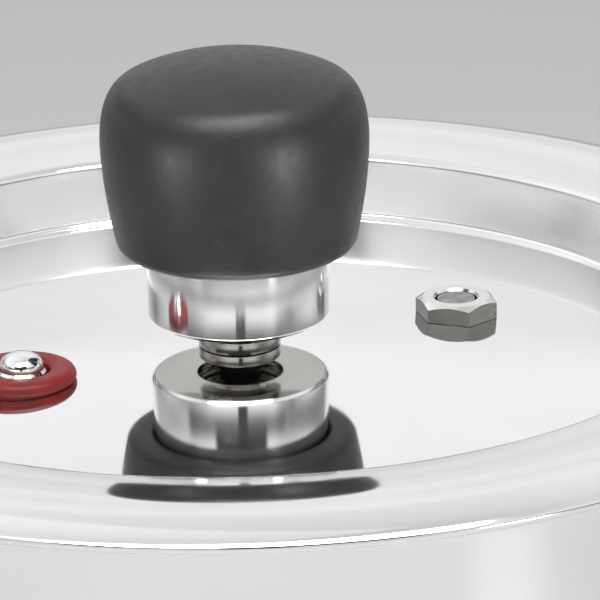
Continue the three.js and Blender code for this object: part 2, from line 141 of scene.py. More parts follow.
def arc(centre, radius, start, end, steps=12):
    """Points on a circle between two angles in degrees."""
    angles = [math.radians(start + (end - start) * i / steps) for i in range(steps + 1)]
    return [[centre[0] + radius * math.cos(a), centre[1] + radius * math.sin(a)] for a in angles]


def ring(inner, outer, low, high):
    """The outline of a ring with a square section."""
    return [[inner, low], [outer, low], [outer, high], [inner, high]]


def eased(outline, radius, steps=3):
    """The same closed outline with its corners rounded; corners on the axis are kept."""
    out = []
    count = len(outline)
    for i, corner in enumerate(outline):
        before, after = outline[i - 1], outline[(i + 1) % count]
        if corner[0] < 1e-6:
            out.append(list(corner))
            continue
        ends = []
        for other in (before, after):
            run = Vector(other) - Vector(corner)
            ends.append(list(Vector(corner) + run * min(radius / run.length, 0.42)))
        out += [ends[0]] + bend(ends[0], corner, ends[1], steps)
    return out


def offset(line, distance):
    """Moves a line of points to its right by a distance."""
    out = []
    for i, (r, z) in enumerate(line):
        before, after = line[max(i - 1, 0)], line[min(i + 1, len(line) - 1)]
        run = Vector((after[0] - before[0], after[1] - before[1])).normalized()
        out.append([0, z - distance] if r == 0 else [r + run.y * distance, z - run.x * distance])
    return out


# ---- Meshes ----
def link(name, mesh, smooth=30):
    """Adds a mesh as an object. Edges sharper than `smooth` degrees stay sharp."""
    mesh.shade_smooth()
    mesh.set_sharp_from_angle(angle=math.radians(smooth))
    obj = bpy.data.objects.new(name, mesh)
    bpy.context.scene.collection.objects.link(obj)
    return obj


def mesh_from(name, points, faces):
    """A mesh of points in millimetres."""
    mesh = bpy.data.meshes.new(name)
    mesh.from_pydata([tuple(c * MM for c in p) for p in points], [], faces)
    mesh.validate()
    mesh.update()
    return mesh


def first_radius(point):
    return point[0](0) if callable(point[0]) else point[0]


def turned(name, outline, sides=ROUND_SIDES, at=(0, 0, 0)):
    """A solid of revolution about Z. A radius may be a function of the angle in degrees."""
    points, rings, faces = [], [], []
    for r, z in outline:
        if not callable(r) and r < 1e-6:
            rings.append([len(points)] * sides)
            points.append((0, 0, z))
            continue
        rings.append(list(range(len(points), len(points) + sides)))
        for i in range(sides):
            angle = 2 * math.pi * i / sides
            reach = r(math.degrees(angle)) if callable(r) else r
            points.append((reach * math.cos(angle), reach * math.sin(angle), z))
    for k, ring in enumerate(rings):
        after = rings[(k + 1) % len(rings)]
        if ring[0] == ring[1] and after[0] == after[1]:
            continue
        for i in range(sides):
            j = (i + 1) % sides
            face = [ring[i], ring[j], after[j], after[i]]
            faces.append([v for n, v in enumerate(face) if v != face[n - 1]])
    mesh = mesh_from(name, points, faces)
    obj = link(name, mesh)
    corners = [(first_radius(point), point[1]) for point in outline]
    area = sum(a[1] * b[0] - a[0] * b[1] for a, b in zip(corners, corners[1:] + corners[:1]))
    if area > 0:
        mesh.flip_normals()
    obj.location = Vector(at) * MM
    return obj


def loft(name, rings, closed=False, caps=True):
    """A skin over rings of points; closed joins the last ring to the first."""
    count = len(rings[0])
    points = [p for ring in rings for p in ring]
    faces = []
    spans = len(rings) if closed else len(rings) - 1
    for k in range(spans):
        a, b = k * count, ((k + 1) % len(rings)) * count
        for i in range(count):
            j = (i + 1) % count
            faces.append([a + i, a + j, b + j, b + i])
    if caps and not closed:
        faces.append(list(reversed(range(count))))
        faces.append(list(range(len(points) - count, len(points))))
    return mesh_from(name, points, faces)


def oval(x, z, half_width, half_height, squareness=2.6):
    """A rounded section across X; a squareness of 2 makes it an ellipse."""
    ring = []
    for i in range(ROUND_SIDES):
        angle = 2 * math.pi * i / ROUND_SIDES
        across, up = math.cos(angle), math.sin(angle)
        across = math.copysign(abs(across) ** (2 / squareness), across)
        up = math.copysign(abs(up) ** (2 / squareness), up)
        ring.append((x, half_width * across, z + half_height * up))
    return ring


def outward(mesh):
    """Turns the faces outward, by the sign of the mesh's volume."""
    volume = 0
    for face in mesh.polygons:
        corners = [mesh.vertices[v].co for v in face.vertices]
        for b, c in zip(corners[1:], corners[2:]):
            volume += corners[0].dot(b.cross(c))
    if volume < 0:
        mesh.flip_normals()
    return mesh


def smooth_line(stations, steps):
    """Passes a smooth line of values through the stations, which are tuples that start with x."""
    out = []
    last = len(stations) - 1
    for k in range(last):
        p0, p1 = stations[max(k - 1, 0)], stations[k]
        p2, p3 = stations[k + 1], stations[min(k + 2, last)]
        for i in range(steps):
            t = i / steps
            a = -0.5 * t**3 + t**2 - 0.5 * t
            b = 1.5 * t**3 - 2.5 * t**2 + 1
            c = -1.5 * t**3 + 2 * t**2 + 0.5 * t
            d = 0.5 * t**3 - 0.5 * t**2
            out.append(tuple(a * w + b * x + c * y + d * z for w, x, y, z in zip(p0, p1, p2, p3)))
    return out + [stations[-1]]


def block(name, x0, x1, y0, y1, z0, z1):
    """A box between two limits on each axis."""
    corners = [(x, y, z) for x in (x0, x1) for y in (y0, y1) for z in (z0, z1)]
    faces = [(0, 1, 3, 2), (4, 6, 7, 5), (0, 4, 5, 1), (2, 3, 7, 6), (0, 2, 6, 4), (1, 5, 7, 3)]
    return link(name, outward(mesh_from(name, corners, faces)))


def rounded_bar(name, x0, x1, half_y, half_z, z, corner):
    """A bar along X whose section is a rectangle with rounded corners."""
    section = eased([[half_y, -half_z], [half_y, half_z], [-half_y, half_z], [-half_y, -half_z]], corner, 6)
    rings = [[(x, y, z + h) for y, h in section] for x in (x0, x1)]
    return link(name, outward(loft(name, rings)))


def baked(obj):
    """Applies an object's modifiers."""
    bpy.context.view_layer.update()
    graph = bpy.context.evaluated_depsgraph_get()
    mesh = bpy.data.meshes.new_from_object(obj.evaluated_get(graph))
    obj.modifiers.clear()
    obj.data = mesh
    mesh.name = obj.name
    mesh.shade_smooth()
    mesh.set_sharp_from_angle(angle=math.radians(30))
    return obj


def combine(obj, tool, operation):
    """Cuts or joins a tool with an object, and removes the tool."""
    step = obj.modifiers.new("combine", "BOOLEAN")
    step.operation = operation
    step.solver = "EXACT"
    step.object = tool
    baked(obj)
    bpy.data.objects.remove(tool)
    return obj


def bevelled(obj, width, angle=35):
    """Rounds the edges that are sharper than an angle in degrees."""
    step = obj.modifiers.new("bevel", "BEVEL")
    step.width = width * MM
    step.segments = 3
    step.limit_method = "ANGLE"
    step.angle_limit = math.radians(angle)
    return baked(obj)


def turn_about_z(obj, angle):
    """Turns the mesh itself, so that the object's own box stays square to the frame."""
    obj.data.transform(Matrix.Rotation(angle, 4, "Z"))
    return obj


# ---- Materials ----
RING_WANDER = 0.0015  # how far noise is carried round the axis, so that no ring is the same all round
NOISE_LOW, NOISE_HIGH = 0.3, 0.7  # where nearly all of a noise texture's values lie


class Look:
    """A material made of nodes, with short ways to add what most of them share."""

    def __init__(self, name, color, roughness, metallic=0.0, **sockets):
        self.material = bpy.data.materials.new(name)
        self.material.use_nodes = True
        self.tree = self.material.node_tree
        self.shader = self.tree.nodes["Principled BSDF"]
        self.set("Base Color", (*color, 1))
        self.set("Roughness", roughness)
        self.set("Metallic", metallic)
        for socket, value in sockets.items():
            self.set(socket.replace("_", " "), value)
        self.place = self.node("ShaderNodeTexCoord").outputs["Object"]
        self.normal = None

    def set(self, socket, value):
        self.shader.inputs[socket].default_value = value

    def node(self, kind, **values):
        made = self.tree.nodes.new(kind)
        for key, value in values.items():
            if key in made.inputs:
                made.inputs[key].default_value = value
            else:
                setattr(made, key, value)
        return made

    def join(self, output, target):
        self.tree.links.new(output, target)

    def noise(self, scale, detail=3, place=None):
        texture = self.node("ShaderNodeTexNoise", Scale=scale, Detail=detail)
        self.join(place or self.place, texture.inputs["Vector"])
        return texture.outputs["Fac"]

    def around(self):
        """Coordinates that change with radius and height, and only a little round Z."""
        parts = self.node("ShaderNodeSeparateXYZ")
        self.join(self.place, parts.inputs[0])
        flat = self.node("ShaderNodeVectorMath", operation="MULTIPLY")
        flat.inputs[1].default_value = (1, 1, 0)
        self.join(self.place, flat.inputs[0])
        radius = self.node("ShaderNodeVectorMath", operation="LENGTH")
        self.join(flat.outputs[0], radius.inputs[0])
        unit = self.node("ShaderNodeVectorMath", operation="NORMALIZE")
        self.join(flat.outputs[0], unit.inputs[0])
        small = self.node("ShaderNodeVectorMath", operation="SCALE")
        small.inputs["Scale"].default_value = RING_WANDER
        self.join(unit.outputs[0], small.inputs[0])
        rings = self.node("ShaderNodeCombineXYZ")
        self.join(radius.outputs["Value"], rings.inputs["X"])
        self.join(parts.outputs["Z"], rings.inputs["Z"])
        both = self.node("ShaderNodeVectorMath", operation="ADD")
        self.join(rings.outputs[0], both.inputs[0])
        self.join(small.outputs[0], both.inputs[1])
        return both.outputs[0]

    def ranged(self, value, low, high):
        spread = self.node("ShaderNodeMapRange")
        limits = {"From Min": NOISE_LOW, "From Max": NOISE_HIGH, "To Min": low, "To Max": high}
        for key, number in limits.items():
            spread.inputs[key].default_value = number
        self.join(value, spread.inputs["Value"])
        return spread.outputs["Result"]

    def rough(self, value, low, high):
        self.join(self.ranged(value, low, high), self.shader.inputs["Roughness"])
        return self

    def tint(self, value, dark, light):
        mix = self.node("ShaderNodeMix", data_type="RGBA")
        mix.inputs["A"].default_value = (*dark, 1)
        mix.inputs["B"].default_value = (*light, 1)
        self.join(self.ranged(value, 0, 1), mix.inputs["Factor"])
        self.join(mix.outputs["Result"], self.shader.inputs["Base Color"])
        return self

    def stretched(self, amount):
        """Spreads reflections along Z, across the fine lines that turning leaves."""
        tangent = self.node("ShaderNodeTangent", direction_type="RADIAL", axis="Z")
        self.join(tangent.outputs["Tangent"], self.shader.inputs["Tangent"])
        self.set("Anisotropic", amount)
        self.set("Anisotropic Rotation", 0.25)
        return self

    def bump(self, value, depth_mm, strength=1.0):
        bump = self.node("ShaderNodeBump", Strength=strength, Distance=depth_mm * MM)
        self.join(value, bump.inputs["Height"])
        if self.normal:
            self.join(self.normal, bump.inputs["Normal"])
        self.normal = bump.outputs["Normal"]
        self.join(self.normal, self.shader.inputs["Normal"])
        return self


def steel(name, color, low, high, line_depth, wear_scale=90):
    """Polished or brushed metal, between two roughnesses, with fine lines round its axis."""
    look = Look(name, color, (low + high) / 2, 1.0)
    lines = look.noise(3200, 2, look.around())
    wear = look.noise(wear_scale, 4)
    look.rough(wear, low, high)
    look.tint(look.noise(40, 3), [c * 0.96 for c in color], color)
    look.bump(lines, line_depth)
    return look


mirror_steel = steel("mirror steel", (0.92, 0.92, 0.925), 0.035, 0.07, 0.0003)
rim_steel = steel("polished rim steel", (0.84, 0.84, 0.845), 0.06, 0.1, 0.0005)
wall_steel = steel("polished wall steel", (0.86, 0.86, 0.865), 0.16, 0.24, 0.0006)
satin_steel = steel("satin steel", (0.62, 0.62, 0.63), 0.2, 0.32, 0.003)
inner_steel = steel("brushed inner steel", (0.66, 0.66, 0.67), 0.29, 0.32, 0.004, 30)
dark_steel = steel("turned dark steel", (0.44, 0.425, 0.4), 0.1, 0.18, 0.002)
bright_steel = steel("turned bright steel", (0.8, 0.8, 0.79), 0.1, 0.18, 0.001)
# The plug head's sides in a much darker steel than its top: painted shade on the faces that turn away from
# the light.
plug_side_painted_shade = steel("plug side steel with painted shade", (0.3, 0.295, 0.28), 0.2, 0.3, 0.002)
base_steel = steel("machined steel face", (0.58, 0.57, 0.54), 0.07, 0.16, 0.003, 240)
plain_aluminium = steel("turned aluminium", (0.6, 0.61, 0.62), 0.3, 0.45, 0.005)
turned_brass = steel("turned brass", (0.58, 0.4, 0.16), 0.2, 0.35, 0.003)

sleeve_steel = steel("lathe-polished steel", (0.96, 0.96, 0.96), 0.1, 0.11, 0.0001)
sleeve_steel.stretched(0.96)

charcoal = Look("charcoal moulding", (0.0105, 0.0111, 0.0135), 0.42)
charcoal.tint(charcoal.noise(160, 4), (0.009, 0.0095, 0.0115), (0.0125, 0.0132, 0.016))
charcoal.rough(charcoal.noise(500, 3), 0.37, 0.47)
charcoal.bump(charcoal.noise(1500, 4), 0.05, 0.55)
charcoal.bump(charcoal.noise(4200, 2), 0.012, 0.5)

moulding = Look("black handle moulding", (0.012, 0.012, 0.013), 0.36)
moulding.tint(moulding.noise(70, 4), (0.01, 0.01, 0.011), (0.016, 0.016, 0.017))
moulding.rough(moulding.noise(220, 4), 0.3, 0.42)
moulding.bump(moulding.noise(1800, 3), 0.02, 0.4)

RUBBER = {"Subsurface_Weight": 0.1, "Subsurface_Scale": 0.001}
red = Look("red silicone", (0.17, 0.01, 0.01), 0.5, Specular_IOR_Level=0.3, **RUBBER)
red.tint(red.noise(260, 4), (0.13, 0.008, 0.008), (0.19, 0.012, 0.012))
red.rough(red.noise(600, 3), 0.38, 0.5)
red.bump(red.noise(2600, 3), 0.01, 0.4)

pale = Look("pale silicone", (0.72, 0.72, 0.7), 0.45, **RUBBER)
pale.tint(pale.noise(120, 4), (0.66, 0.66, 0.64), (0.76, 0.76, 0.74))
pale.rough(pale.noise(300, 3), 0.38, 0.52)
pale.bump(pale.noise(2200, 3), 0.01, 0.4)

alloy = Look("fusible alloy", (0.3, 0.3, 0.3), 0.5, 0.85)
alloy.tint(alloy.noise(900, 4), (0.22, 0.22, 0.22), (0.36, 0.36, 0.36))
alloy.rough(alloy.noise(1400, 4), 0.4, 0.62)
alloy.bump(alloy.noise(2600, 4), 0.03, 0.6)


# ---- Placing a piece ----
def place(obj, node, look, slot):
    """Stands a piece in for its CAD node, on that node's body."""
    obj.data.materials.clear()
    obj.data.materials.append(look.material)
    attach(obj, frame["nodes"][node]["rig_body"])
    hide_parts(node)
    return obj


def lug_edge(out, away, span):
    """A radius that is `out` over each lug, `away` between lugs, and turns softly between them."""
    spacing = 360 / LUGS
    soft = 0.9  # degrees

    def radius(angle):
        near = abs((angle + spacing / 2) % spacing - spacing / 2)
        share = min(max((span / 2 - near) / soft + 0.5, 0), 1)
        share = share * share * (3 - 2 * share)
        return away + (out - away) * share

    return radius


# ---- Lid shell ----
RIM_START = [RECESS_R + 1.5, RIM_Z + 0.35]
RIM_CROWN = [87.5, RIM_Z + 2.7], [93.5, RIM_Z + 1.2]  # the control and the end of each curve
RIM_EDGE = [RIM_R - 0.1, RIM_Z - 0.2], [RIM_R, RIM_Z - 1.2]


def lid_outline():
    dome_end = math.degrees(math.asin(DOME_R / PLATE_SPHERE_R))
    upper = arc((0, TOP - PLATE_SPHERE_R), PLATE_SPHERE_R, 90, 90 - dome_end, 24)
    upper[0] = [0, TOP]
    foot, wall_top = [RECESS_R - 1.73, LID_Z + 0.8], [RECESS_R, RIM_Z - 0.9]
    upper += bend(upper[-1], [RECESS_R - 1.85, LID_Z - 0.16], foot, 12)
    upper += [[a + (b - a) * t / 6 for a, b in zip(foot, wall_top)] for t in range(1, 7)]
    upper += bend(wall_top, [RECESS_R + 0.2, RIM_Z + 0.05], RIM_START, 10)
    upper += bend(RIM_START, *RIM_CROWN, 28)
    edge = bend(RIM_CROWN[1], *RIM_EDGE, 14)
    edge += bend(edge[-1], [RIM_R, RIM_Z - 2.2], [RIM_R - 1, RIM_Z - 2.2], 8)
    edge += bend(edge[-1], [SKIRT_R, RIM_Z - 2.3], [SKIRT_R, RIM_Z - 3.1], 5)
    bottom, low = LID_Z + SKIRT_LOW, LID_Z + LUG_LOW
    inside = SKIRT_R - LID_SHEET
    edge += [[SKIRT_R, bottom + 2.5], [SKIRT_R, bottom + 0.3], [SKIRT_R - 0.3, bottom]]
    edge += [[inside + 0.2, bottom], [inside, bottom + 0.2], [inside, low - 0.1]]
    lug = lug_edge(LID_LUG_R, inside - 0.12, LID_LUG_SPAN)
    edge += [[lambda a: lug(a) + 0.2, low], [lug, low + 0.2]]
    edge += [[lug, low + 1.0], [lambda a: lug(a) + 0.1, low + 1.2]]
    edge += [[inside, low + 1.25], [inside, RIM_Z - 1.3]]
    return upper + edge + offset(upper, LID_SHEET)[::-1]


def make_lid_shell():
    """The pressed shell: a mirror plate, a softer wall round it, and a polished rim."""
    shell = turned("lid_shell_fine", lid_outline(), SHELL_SIDES)
    holes = ((4.3, 0, 0), (4.7, *PLUG_AT), (5.3, *PIN_AT))
    for radius, x, y in holes:
        cutter = turned("hole", [[0, -6], [radius, -6], [radius, 6], [0, 6]], 64, (x, y, TOP))
        combine(shell, cutter, "DIFFERENCE")
    place(shell, "lid_shell", mirror_steel, "mirror_steel")
    shell.data.materials.append(wall_steel.material)
    shell.data.materials.append(rim_steel.material)
    for face in shell.data.polygons:
        out = face.center.xy.length / MM
        faces_in = face.normal.xy.dot(face.center.xy) < 0
        if out > RECESS_R - 1.7:
            face.material_index = 1 if out < RECESS_R + 0.2 and faces_in else 2


make_lid_shell()


# ---- Pot shell and base ----
def pot_outline():
    corner = (POT_R - POT_CORNER, POT_FLOOR_Z + POT_CORNER)
    outer = [[0, POT_FLOOR_Z], [40, POT_FLOOR_Z]]
    outer += arc(corner, POT_CORNER, -90, 0, 20)
    low = POT_RIM_Z - POT_WALL
    outer += [[POT_R, 60], [POT_R, low - 1.5]]
    outer += bend(outer[-1], [POT_R, low], [FLANGE_R - 0.3, low], 8)
    lug = lug_edge(POT_LUG_R, FLANGE_R, POT_LUG_SPAN)
    outer += [[lambda a: lug(a) - 0.2, low], [lug, low + 0.25]]
    outer += [[lug, POT_RIM_Z - 0.25], [lambda a: lug(a) - 0.2, POT_RIM_Z]]
    inner_r = POT_R - POT_WALL
    inner = [[POT_R + 0.3, POT_RIM_Z]]
    inner += bend(inner[-1], [inner_r, POT_RIM_Z], [inner_r, POT_RIM_Z - 1.6], 8)
    inner += [[inner_r, 60]] + arc(corner, POT_CORNER - POT_WALL, 0, -90, 20)
    inner += [[40, POT_FLOOR_Z + POT_WALL], [0, POT_FLOOR_Z + POT_WALL]]
    return outer + inner


def make_pot():
    """The pot's shell, the disc under it and the cap that holds the disc."""
    shell = turned("pot_shell_fine", pot_outline(), SHELL_SIDES)
    turn_about_z(shell, POT_TURN)
    place(shell, "pot_shell", rim_steel, "mirror_steel")
    shell.data.materials.append(inner_steel.material)
    inside = POT_R - POT_WALL + 0.05
    for face in shell.data.polygons:
        out = face.center.xy.length / MM
        faces_in = face.normal.xy.dot(face.center.xy) < 0 or face.normal.z > 0.3
        if out < inside and faces_in:
            face.material_index = 1
    top, side = POT_FLOOR_Z - GAP, BASE_R - BASE_SHEET
    cap = [[0, 0], [BASE_R - 1.8, 0]] + bend([BASE_R - 1.8, 0], [BASE_R, 0], [BASE_R, 1.8], 6)
    cap += [[BASE_R, top - 0.3], [BASE_R - 0.3, top]]
    cap += [[side, top], [side, 1.9], [side - 1.1, BASE_SHEET], [0, BASE_SHEET]]
    place(turned("base_cap_fine", cap, WIDE_SIDES), "base_cap", satin_steel, "satin_steel")
    core = side - GAP
    disc = [[0, BASE_SHEET + GAP], [core - 1.2, BASE_SHEET + GAP], [core, 2.3], [core, top], [0, top]]
    place(turned("base_disc_fine", disc, WIDE_SIDES), "base_disc", plain_aluminium, "aluminium")


make_pot()


# ---- Small turned pieces ----
BUSH_LOW = SEAT + 0.05


def small_pieces():
    """Name, outline, corner radius, sides, place, look and slot of each small turned piece."""
    tube = [
        [1.2, -9], [3.9, -9], [3.9, UNDER - 3.5], [7, UNDER - 3.5], [7, UNDER - 2.2], [3.9, UNDER - 2.2],
        [3.9, 2.4], [3.2, 2.7], [3.2, 8.6], [2.8, 9.1], [2.3, 9.1], [1.2, 8],
    ]
    nut = [[4.2, 0.08], [6.4, 0.08], [6.4, 1.8], [6.1, 2.1], [4.2, 2.1]]
    core = [
        [0, 15.4], [2.2, 15.4], [2.2, 10.4], [3.6, 10.4], [3.6, 8.4], [7.6, 8.4], [7.6, 7.4], [6.8, 7.4],
        [6.8, CORE_LOW], [12.6, CORE_LOW], [12.6, SLEEVE_HIGH], [9, SLEEVE_HIGH], [9, NECK_TOP],
        [4, NECK_TOP], [4, STUD_TOP], [0, STUD_TOP],
    ]
    bush = [
        [1.9, -3.2], [6.6, -3.2], [6.6, UNDER - BUSH_LOW], [5, UNDER - BUSH_LOW], [5, BUSH_LOW],
        [8.2, BUSH_LOW], [8.5, 0.85], [8.45, 1.4], [8.05, 2.05], [7.1, 2.4], [5.2, 2.4], [4.4, 1.9],
        [4.4, 0.6], [1.9, 0.6],
    ]
    pin_head = bend([3.5, 2.2], [3.5, 4.6], [0, 4.8], 14)
    pin_line = [
        [0, -10], [1.6, -10], [1.6, -9.4], [1.1, -9.4], [1.1, -8.4], [1.6, -8.4], [1.6, 0.9], [3.9, 0.9],
        [3.9, 1.8], [3.5, 2.2],
    ]
    needle = [[0, 7.3], [1.9, 9.2], [1.9, 15.1], [0, 15.1]]
    plug_core = [[0, -2.7], [3, -2.7], [3, 2.8], [2.2, 2.9], [0, 2.75]]
    vent_washer = ring(4.2, 7.4, UNDER - 1.9, UNDER - GAP)
    plug_washer = ring(4.7, 6.2, -2.6, UNDER - SEAT)
    insert = ring(4.3, 7, NECK_TOP + GAP, STUD_TOP + 0.4)
    return [
        ("vent_tube", tube, 0.12, 96, CENTRE, bright_steel, "dark_steel"),
        ("vent_nut", nut, 0.1, 128, CENTRE, dark_steel, "dark_steel"),
        ("vent_seal", vent_washer, 0.3, 96, CENTRE, pale, "pale_silicone"),
        ("weight_core", core, 0.18, 128, CENTRE, dark_steel, "dark_steel"),
        ("weight_needle", needle, 0.15, 64, CENTRE, satin_steel, "satin_steel"),
        ("weight_insert", insert, 0.3, 64, CENTRE, turned_brass, "brass"),
        ("plug_alloy", plug_core, 0.12, 64, PLUG_PLACE, alloy, "fusible_alloy"),
        ("plug_seal", plug_washer, 0.3, 64, PLUG_PLACE, red, "red_silicone"),
        ("indicator_bush", bush, 0.35, 128, PIN_PLACE, red, "red_silicone"),
        ("indicator_pin", pin_line + pin_head, 0.0, 96, PIN_PLACE, mirror_steel, "mirror_steel"),
    ]


def seated(obj, low):
    """Brings a flat underside at height `low` down to the sloping plate under it."""
    tolerance = 0.06
    for v in obj.data.vertices:
        if abs(v.co.z / MM - low) < tolerance:
            x, y = (v.co + obj.location).xy / MM
            v.co.z = (plate_z(math.hypot(x, y)) + HAIR) * MM - obj.location.z
    return obj


for node, outline, corner, sides, at, look, slot in small_pieces():
    shape = eased(outline, corner) if corner else outline
    piece = turned(node + "_fine", shape, sides, at)
    if node == "indicator_bush":
        seated(piece, BUSH_LOW)
    place(piece, node, look, slot)


def make_sleeve():
    """A polished cup, turned smooth below, where the vent enters it."""
    cup = [
        [6.8, SLEEVE_LOW], [13.5, SLEEVE_LOW], [SLEEVE_R, SLEEVE_LOW + 0.6], [SLEEVE_R, SLEEVE_HIGH],
        [12.9, SLEEVE_HIGH], [12.9, CORE_LOW - GAP], [6.8, CORE_LOW - GAP],
    ]
    cup = turned("weight_sleeve_fine", eased(cup, 0.15), WIDE_SIDES, CENTRE)
    place(cup, "weight_sleeve", sleeve_steel, "mirror_steel")
    cup.data.materials.append(base_steel.material)
    for face in cup.data.polygons:
        if face.center.z < (SLEEVE_LOW + 0.2) * MM:
            face.material_index = 1


make_sleeve()


def make_knob():
    """A moulded knob whose side leans outward to a rounded shoulder, hollow over the sleeve and stud."""
    skin = [[SLEEVE_R + GAP, 16.6], [SLEEVE_R + GAP + 0.4, 16.2], [16.2, 16.1]]
    skin += bend(skin[-1], [18.4, 16.15], [18.8, 17.7], 10)
    skin += bend(skin[-1], [KNOB_R, 27.4], [KNOB_R, 33.5], 20)
    skin += bend(skin[-1], [KNOB_R, 41.3], [16.9, 43.1], 24)
    skin += bend(skin[-1], [9.6, 46.5], [0, 46.5], 20)
    cavity = [
        [0, STUD_TOP + 1], [7.3, STUD_TOP + 1], [7.3, NECK_TOP + GAP], [9.3, NECK_TOP + GAP],
        [9.3, SLEEVE_HIGH + GAP], [SLEEVE_R + GAP, SLEEVE_HIGH + GAP],
    ]
    knob = turned("weight_knob_fine", cavity + skin, 192, CENTRE)
    place(knob, "weight_knob", charcoal, "charcoal_plastic")


make_knob()


def make_gasket():
    """A ring of silicone with two lips that pressure spreads."""
    low = POT_RIM_Z + GAP
    lip = [
        [83.5, low + 0.4], [92, low], [96.2, low], [96.2, low + 3.2], [94.6, low + 4.4], [83, low + 5.6],
        [83, low + 4.4], [93, low + 3.1], [93.6, low + 1.9], [92.4, low + 1.3], [84, low + 1.6],
    ]
    place(turned("lid_gasket_fine", eased(lip, 0.5, 4), WIDE_SIDES), "lid_gasket", pale, "pale_silicone")


make_gasket()


# ---- Hexagons with turned chamfers ----
def hexagon(name, across_flats, low, high, bore, turn, at, face_r, chamfer_low=False):
    """A hexagonal nut or plug head with a bore, its corners chamfered by a cone."""
    sides = 180
    slope = math.tan(math.radians(30))

    def hex_r(angle):
        within = (angle - turn) % 60 - 30
        return across_flats / 2 / math.cos(math.radians(within))

    def level(radius, height):
        points = []
        for i in range(sides):
            angle = 360 * i / sides
            r = radius(angle) if callable(radius) else radius
            z = height(r) if callable(height) else height
            points.append((r * math.cos(math.radians(angle)), r * math.sin(math.radians(angle)), z))
        return points

    top_edge = lambda r: high - max(r - face_r, 0) * slope
    low_edge = lambda r: low + (max(r - face_r, 0) * slope if chamfer_low else 0)
    rings = [
        level(bore, low), level(face_r, low), level(hex_r, low_edge), level(hex_r, top_edge),
        level(face_r, high), level(bore + 0.35, high), level(bore, high - 0.35),
    ]
    obj = link(name, outward(loft(name, rings, closed=True)))
    obj.location = Vector(at) * MM
    return obj


def make_plug():
    head = hexagon("plug_body_fine", 11.4, SEAT, 3.1, 3.3, 21.7, PLUG_PLACE, 5.3)
    stem = eased([[1.6, -8], [4.4, -8], [4.4, 0.8], [3.3, 0.8], [3.3, -3], [1.6, -3]], 0.25)
    seated(head, SEAT)
    combine(head, turned("stem", stem, 180, PLUG_PLACE), "UNION")
    place(head, "plug_body", bright_steel, "dark_steel")
    # Upright faces take the darker steel: painted shade on the sides of the hexagon.
    head.data.materials.append(plug_side_painted_shade.material)
    for face in head.data.polygons:
        if face.normal.z < 0.3:
            face.material_index = 1
    nut = hexagon("plug_nut_fine", 12, -6, -2.8, 4.7, 30, PLUG_PLACE, 5.8, True)
    place(nut, "plug_nut", satin_steel, "satin_steel")


make_plug()


# ---- Open spring clips ----
def clip(node, inner, outer, low, high, span, at, look, slot):
    """A flat ring of `span` degrees."""
    section = eased(ring(inner, outer, low, high), 0.12, 2)
    rings = []
    steps = 48
    for i in range(steps + 1):
        angle = math.radians(-span / 2 + span * i / steps)
        rings.append([(r * math.cos(angle), r * math.sin(angle), z) for r, z in section])
    obj = link(node + "_fine", outward(loft(node, rings)))
    obj.location = Vector(at) * MM
    place(obj, node, look, slot)


clip("weight_clip", 5, 7.3, 7.7, 8.1, 300, CENTRE, dark_steel, "dark_steel")
clip("indicator_clip", 1.4, 3.3, -9.2, -8.6, 290, PIN_PLACE, satin_steel, "satin_steel")


# ---- Screws ----
def screw(node, x, head_r, shaft_r, head_low, tip, from_below=False, turn=0.0):
    """A pan-head screw with a cross recess, driven in from above or from below."""
    high = head_low + 2
    outline = [[0, tip], [shaft_r - 0.4, tip], [shaft_r, tip + 0.4], [shaft_r, head_low], [head_r, head_low]]
    outline += bend([head_r, head_low + 0.6], [head_r - 0.1, high - 0.1], [0, high], 10)
    body = turned(node + "_fine", outline, 72)
    arm = head_r * 0.62
    for half_x, half_y in ((arm, 0.5), (0.5, arm)):
        bar = block("recess", -half_x, half_x, -half_y, half_y, high - 1.1, high + 1)
        combine(body, bar, "DIFFERENCE")
    if from_below:
        flip = Matrix.Translation((0, 0, 2 * HANDLE_Z * MM)) @ Matrix.Rotation(math.pi, 4, "X")
        body.data.transform(flip)
    body.data.transform(Matrix.Translation((x * MM, 0, 0)))
    turn_about_z(body, turn)
    place(body, node, satin_steel, "satin_steel")


screw("lid_handle_screw_front", 110, 3.8, 1.9, LID_GRIP_Z + 4.2, TONGUE_LOW - 2.2)
screw("lid_handle_screw_rear", 121, 3.8, 1.9, LID_GRIP_Z + 4.2, TONGUE_LOW - 2.2)
screw("pot_handle_screw", 113, 4, 2, HANDLE_Z + 5.4, HANDLE_Z - 4, True, POT_TURN)
screw("helper_screw", 106, 4, 2, HANDLE_Z + 4.4, HANDLE_Z - 4, True, POT_TURN + math.pi)


# ---- Grips ----
def grip(node, stations, pockets, turn=0.0, squareness=2.6):
    """A moulded grip with round pockets over its screws.

    A station is x, height of the middle, half width and half height. A pocket is x, radius, low and high.
    """
    rings = [oval(x, z, w, h, squareness) for x, z, w, h in smooth_line(stations, 5)]
    obj = link(node + "_fine", outward(loft(node, rings)), 40)
    for x, radius, low, high in pockets:
        cutter = turned("pocket", [[0, low], [radius, low], [radius, high], [0, high]], 64, (x, 0, 0))
        combine(obj, cutter, "DIFFERENCE")
    turn_about_z(obj, turn)
    place(obj, node, moulding, "black_plastic")


ROUND_START = ((0, 0.80, 0.66), (0.5, 0.93, 0.86), (1.4, 0.985, 0.97))


def eased_start(x, z, half_width, half_height):
    """Sections that round a grip's front edge."""
    return [(x + dx, z, half_width * kw, half_height * kh) for dx, kw, kh in ROUND_START]


